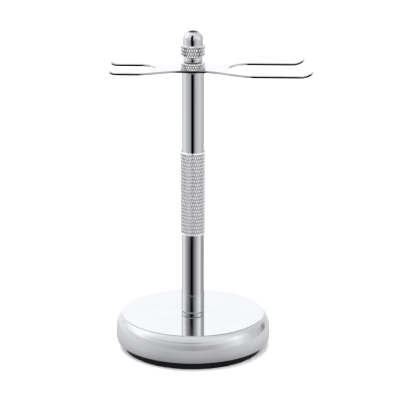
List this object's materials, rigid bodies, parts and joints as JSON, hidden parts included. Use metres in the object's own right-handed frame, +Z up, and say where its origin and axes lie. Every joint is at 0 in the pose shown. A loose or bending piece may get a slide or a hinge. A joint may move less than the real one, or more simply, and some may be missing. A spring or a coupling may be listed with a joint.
{
  "type": "razor stand",
  "caption": "Weighted chrome stand with a knurled post and a swivelling twin fork that hangs a safety razor on one side and a shaving brush on the other.",
  "frame": {"origin": "centre of the underside, on the surface the stand rests on", "axes": "+Z up along the post; +X towards the brush side of the fork at rest, -X towards the razor side"},
  "size_m": [0.0974, 0.075, 0.1586],
  "materials": {
    "chrome": "mirror-polished chrome plate",
    "knurled_chrome": "diamond-knurled chrome plate, satin",
    "cast_iron": "bare casting",
    "plated_steel": "zinc-plated, threaded",
    "brass": "turned brass",
    "black_rubber": "moulded, matt",
    "black_foam": "die-cut closed-cell foam, matt",
    "white_nylon": "natural nylon"
  },
  "bodies": {
    "stand": {"base_shell": "chrome", "ballast_disc": "cast_iron", "foot_ring": "black_rubber", "non_slip_pad": "black_foam", "base_screw": "plated_steel", "base_lock_washer": "plated_steel", "base_flat_washer": "plated_steel", "lower_post_plug": "chrome", "lower_post_tube": "chrome", "lower_coupling_plug": "brass", "coupling_stud": "plated_steel", "knurled_sleeve": "knurled_chrome", "upper_coupling_plug": "brass", "upper_post_tube": "chrome", "upper_post_plug": "brass", "top_stud": "plated_steel"},
    "fork": {"fork_plate": "chrome"},
    "washer": {"captive_washer": "white_nylon"},
    "knob": {"clamp_nut": "knurled_chrome", "finial": "chrome"}
  },
  "joints": [
    {"name": "fork_swivel", "type": "hinge", "parent": "stand", "child": "fork", "pos_m": [0, 0, 0.1398], "axis": [0, 0, 1], "continuous": true},
    {"name": "knob_lift", "type": "slide", "parent": "stand", "child": "washer", "axis": [0, 0, 1], "range_m": [0, 0.008]},
    {"name": "knob_turn", "type": "hinge", "parent": "washer", "child": "knob", "pos_m": [0, 0, 0.1405], "axis": [0, 0, 1], "range_deg": [0, 3600]}
  ],
  "couplings": [
    {"joint": "knob_turn", "follows": "knob_lift", "rad_per_m": 7854}
  ]
}
